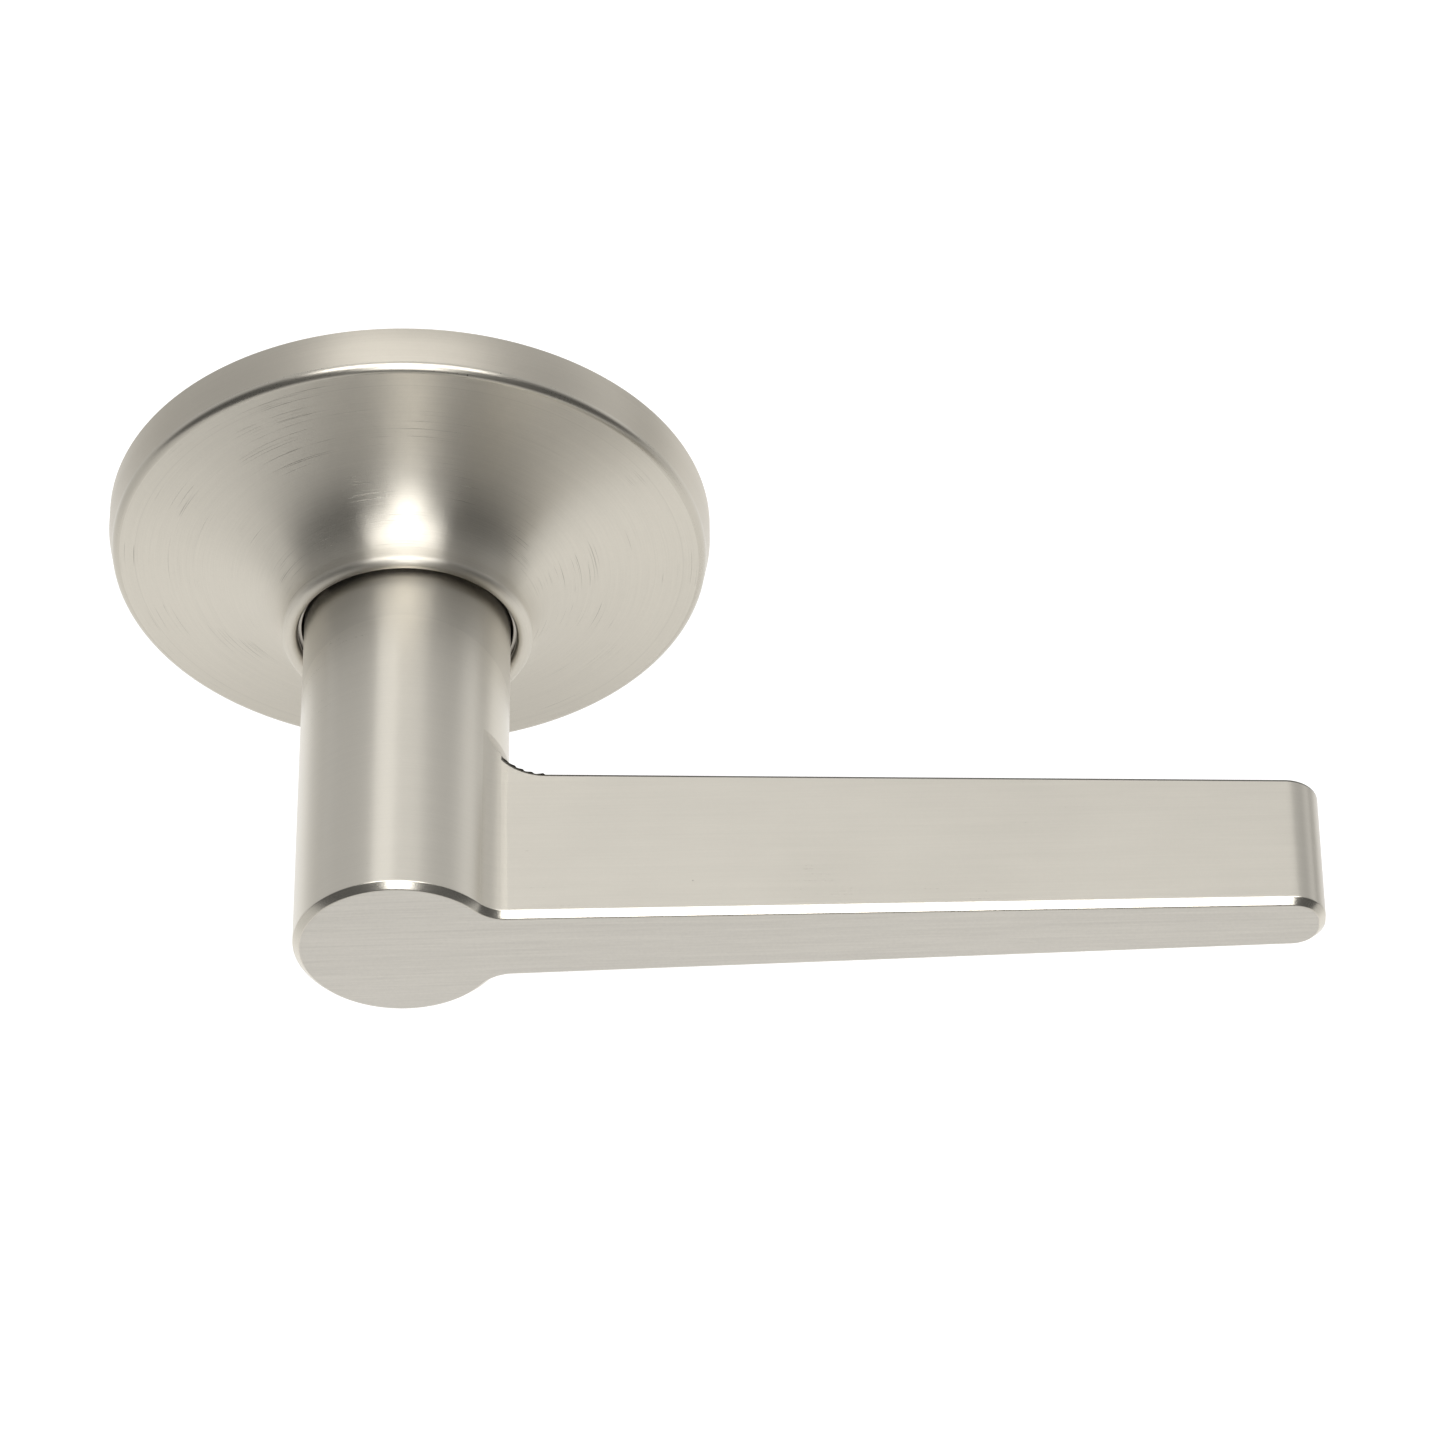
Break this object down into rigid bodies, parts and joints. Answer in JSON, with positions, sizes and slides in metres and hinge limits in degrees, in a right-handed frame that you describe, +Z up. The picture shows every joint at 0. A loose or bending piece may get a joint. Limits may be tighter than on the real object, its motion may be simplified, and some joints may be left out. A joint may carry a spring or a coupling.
{
  "type": "lever handle lockset",
  "caption": "Round-rose lever handle trim: a straight tapered lever on a cylindrical neck turns a square spindle and springs back level.",
  "frame": {"origin": "on the spindle's axis, in the plane of the door's face and the rose's back rim", "axes": "+Y along the spindle into the door, +X along the lever, +Z up with the trim on an upright door"},
  "size_m": [0.1599, 0.097, 0.081],
  "materials": {
    "satin_nickel": "satin nickel plate, brushed: concentric on the rose, round the neck and lengthwise on the arm, with a polished front bevel",
    "zinc_plate": "bright zinc plate on pressed and turned steel",
    "spring_steel": "oil-tempered spring steel",
    "bright_steel": "bright turned steel",
    "bronze": "oil-filled sintered bronze",
    "nylon": "natural nylon"
  },
  "bodies": {
    "trim": {"mounting_plate": "zinc_plate", "post_left": "zinc_plate", "post_right": "zinc_plate", "spring_cage": "zinc_plate", "cage_screw_1": "bright_steel", "cage_screw_2": "bright_steel", "cage_screw_3": "bright_steel", "cage_screw_4": "bright_steel", "bearing_bush": "bronze", "thrust_washer": "nylon", "wave_washer": "spring_steel", "stop_pin_left": "bright_steel", "stop_pin_right": "bright_steel", "rose_cover": "satin_nickel", "rose_ring": "spring_steel", "rose_clip_1": "spring_steel", "rose_clip_2": "spring_steel", "rose_clip_3": "spring_steel", "clip_rivet_1": "bright_steel", "clip_rivet_2": "bright_steel", "clip_rivet_3": "bright_steel", "return_spring_left": "spring_steel", "return_spring_right": "spring_steel"},
    "lever": {"lever_handle": "satin_nickel", "drive_sleeve": "zinc_plate", "drive_cam": "zinc_plate", "drive_key": "bright_steel", "drive_insert": "zinc_plate", "insert_pin": "bright_steel", "spindle": "zinc_plate", "retaining_ring": "spring_steel", "catch_spring": "spring_steel"},
    "catch": {"lever_catch": "bright_steel"}
  },
  "joints": [
    {"name": "lever_turn", "type": "hinge", "parent": "trim", "child": "lever", "pos_m": [0, 0, 0], "axis": [0, 1, 0], "range_deg": [-50, 50], "stiffness_Nm_per_rad": 2, "springref_deg": -6.88, "deforming": ["return_spring_left", "return_spring_right"]},
    {"name": "catch_press", "type": "slide", "parent": "lever", "child": "catch", "axis": [0, 0, 1], "range_m": [0, 0.003], "stiffness_N_per_m": 400, "springref_m": -0.002, "deforming": ["catch_spring"]}
  ]
}
